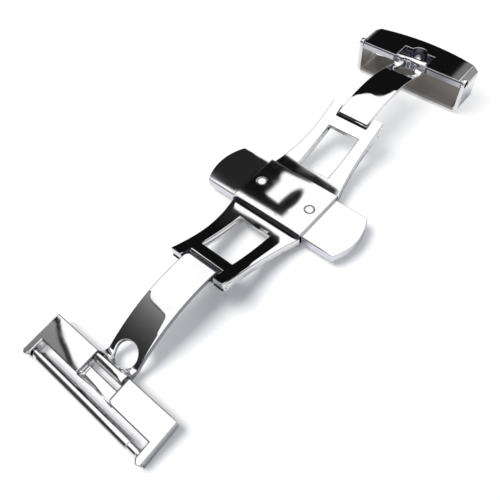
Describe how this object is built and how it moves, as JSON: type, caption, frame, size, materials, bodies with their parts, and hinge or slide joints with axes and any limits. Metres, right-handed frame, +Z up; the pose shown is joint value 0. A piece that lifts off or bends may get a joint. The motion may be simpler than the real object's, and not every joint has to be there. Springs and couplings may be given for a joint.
{
  "type": "deployant clasp",
  "caption": "Two-button folding deployant clasp for a leather watch strap, with a spring bar end and a strap loop end, shown fully opened.",
  "frame": {"origin": "middle of the flat underside of the centre block, between the two blade channels", "axes": "+X along the clasp towards the strap loop end, +Y across it towards the left button, +Z up, the side that faces the wrist"},
  "size_m": [0.0728, 0.0232, 0.0063],
  "materials": {
    "polished_steel": "mirror polished stainless steel",
    "inner_steel": "plain machined stainless steel",
    "spring_steel": "drawn spring wire"
  },
  "bodies": {
    "frame": {"main_frame": "polished_steel", "cover_plate": "polished_steel", "rivet_left": "polished_steel", "rivet_right": "polished_steel", "fold_pin_near": "polished_steel", "fold_pin_far": "polished_steel", "button_spring_left": "spring_steel", "button_spring_right": "spring_steel"},
    "near_blade": {"blade_near": "polished_steel"},
    "lug_end": {"end_plate": "polished_steel", "end_pin": "polished_steel"},
    "spring_bar": {"bar_tube": "polished_steel", "bar_spring": "spring_steel"},
    "left_tip": {"bar_tip_left": "polished_steel"},
    "right_tip": {"bar_tip_right": "polished_steel"},
    "far_blade": {"blade_far": "polished_steel"},
    "loop_end": {"base_plate": "polished_steel", "hinge_pin_far": "polished_steel", "strap_peg": "polished_steel"},
    "loop": {"strap_loop": "polished_steel"},
    "left_button": {"button_left": "polished_steel", "slide_left": "inner_steel", "hook_left_near": "inner_steel", "hook_left_far": "inner_steel"},
    "right_button": {"button_right": "polished_steel", "slide_right": "inner_steel", "hook_right_near": "inner_steel", "hook_right_far": "inner_steel"}
  },
  "joints": [
    {"name": "fold_near", "type": "hinge", "parent": "frame", "child": "near_blade", "pos_m": [-0.01594, 0, 0.00408], "axis": [0, -1, 0], "range_deg": [0, 152.37]},
    {"name": "swing_near", "type": "hinge", "parent": "near_blade", "child": "lug_end", "pos_m": [-0.03112, 0, 0.00148], "axis": [0, 1, 0], "range_deg": [0, 159.32]},
    {"name": "bar_spin", "type": "hinge", "parent": "lug_end", "child": "spring_bar", "pos_m": [-0.03548, 0, 0.0007], "axis": [0, 1, 0], "continuous": true},
    {"name": "tip_in_left", "type": "slide", "parent": "spring_bar", "child": "left_tip", "axis": [0, -1, 0], "range_m": [0, 0.0008], "stiffness_N_per_m": 500, "springref_m": -0.002, "deforming": ["bar_spring"]},
    {"name": "tip_in_right", "type": "slide", "parent": "spring_bar", "child": "right_tip", "axis": [0, 1, 0], "range_m": [0, 0.0008], "stiffness_N_per_m": 500, "springref_m": -0.002, "deforming": ["bar_spring"]},
    {"name": "fold_far", "type": "hinge", "parent": "frame", "child": "far_blade", "pos_m": [0.01594, 0, 0.00408], "axis": [0, 1, 0], "range_deg": [0, 165.52]},
    {"name": "swing_far", "type": "hinge", "parent": "far_blade", "child": "loop_end", "pos_m": [0.03131, 0, 0.005], "axis": [0, -1, 0], "range_deg": [0, 165.52]},
    {"name": "loop_flip", "type": "hinge", "parent": "loop_end", "child": "loop", "pos_m": [0.03131, 0, 0.005], "axis": [0, -1, 0], "range_deg": [-60, 0]},
    {"name": "press_left", "type": "slide", "parent": "frame", "child": "left_button", "axis": [0, -1, 0], "range_m": [0, 0.0005], "stiffness_N_per_m": 600, "springref_m": -0.0015, "deforming": ["button_spring_left"]},
    {"name": "press_right", "type": "slide", "parent": "frame", "child": "right_button", "axis": [0, 1, 0], "range_m": [0, 0.0005], "stiffness_N_per_m": 600, "springref_m": -0.0015, "deforming": ["button_spring_right"]}
  ],
  "couplings": [
    {"joint": "swing_near", "follows": "fold_near", "ratio": 1.0456},
    {"joint": "swing_far", "follows": "fold_far", "ratio": 1}
  ]
}
